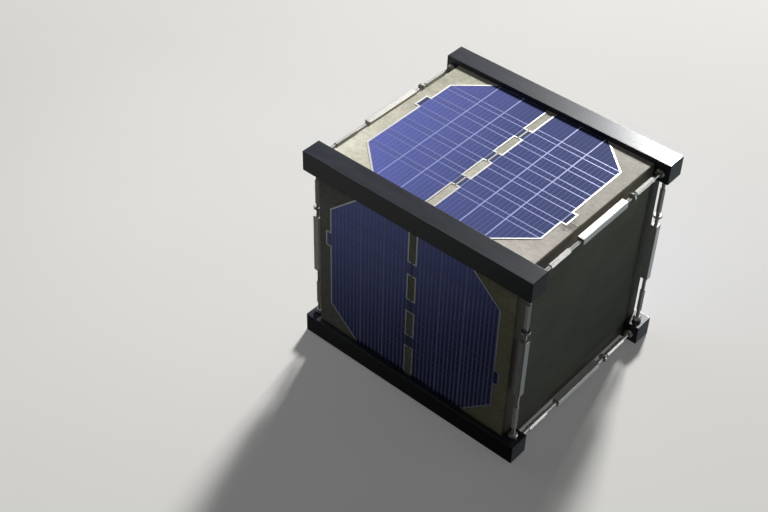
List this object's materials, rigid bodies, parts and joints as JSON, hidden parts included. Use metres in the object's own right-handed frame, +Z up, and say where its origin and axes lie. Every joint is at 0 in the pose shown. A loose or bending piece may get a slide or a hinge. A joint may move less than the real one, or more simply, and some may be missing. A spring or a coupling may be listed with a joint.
{
  "type": "one-unit cube satellite with wooden panels",
  "caption": "Small cube satellite: square metal rails carry wooden side panels with solar cells, tied across both ends by turnbuckle rods.",
  "frame": {"origin": "middle of the length and width, on the surface that the two lower rails rest on", "axes": "+X along the rails, towards the end with the longer bare rail ends; +Z up; the front is at -Y"},
  "size_m": [0.1134, 0.1, 0.1],
  "materials": {
    "rail_metal": "dark satin anodised",
    "wood": "bare, fine sawn grain",
    "solar_cell": "blue cover glass over silver lines",
    "bright_steel": "bright, fine turned",
    "equipment": "plain, hidden"
  },
  "bodies": {
    "root": {"equipment_block": "equipment", "panel_bottom": "wood", "panel_end_left": "wood", "panel_end_right": "wood", "panel_front": "wood", "panel_rear": "wood", "panel_top": "wood", "rail_front_lower": "rail_metal", "rail_front_upper": "rail_metal", "rail_rear_lower": "rail_metal", "rail_rear_upper": "rail_metal", "rod_bottom_left_a": "bright_steel", "rod_bottom_left_b": "bright_steel", "rod_bottom_right_a": "bright_steel", "rod_bottom_right_b": "bright_steel", "rod_front_left_a": "bright_steel", "rod_front_left_b": "bright_steel", "rod_front_right_a": "bright_steel", "rod_front_right_b": "bright_steel", "rod_rear_left_a": "bright_steel", "rod_rear_left_b": "bright_steel", "rod_rear_right_a": "bright_steel", "rod_rear_right_b": "bright_steel", "rod_sleeve_bottom_left": "bright_steel", "rod_sleeve_bottom_right": "bright_steel", "rod_sleeve_front_left": "bright_steel", "rod_sleeve_front_right": "bright_steel", "rod_sleeve_rear_left": "bright_steel", "rod_sleeve_rear_right": "bright_steel", "rod_sleeve_top_left": "bright_steel", "rod_sleeve_top_right": "bright_steel", "rod_top_left_a": "bright_steel", "rod_top_left_b": "bright_steel", "rod_top_right_a": "bright_steel", "rod_top_right_b": "bright_steel", "solar_cell_bottom_left": "solar_cell", "solar_cell_bottom_right": "solar_cell", "solar_cell_front_left": "solar_cell", "solar_cell_front_right": "solar_cell", "solar_cell_rear_left": "solar_cell", "solar_cell_rear_right": "solar_cell", "solar_cell_top_left": "solar_cell", "solar_cell_top_right": "solar_cell"}
  },
  "joints": []
}
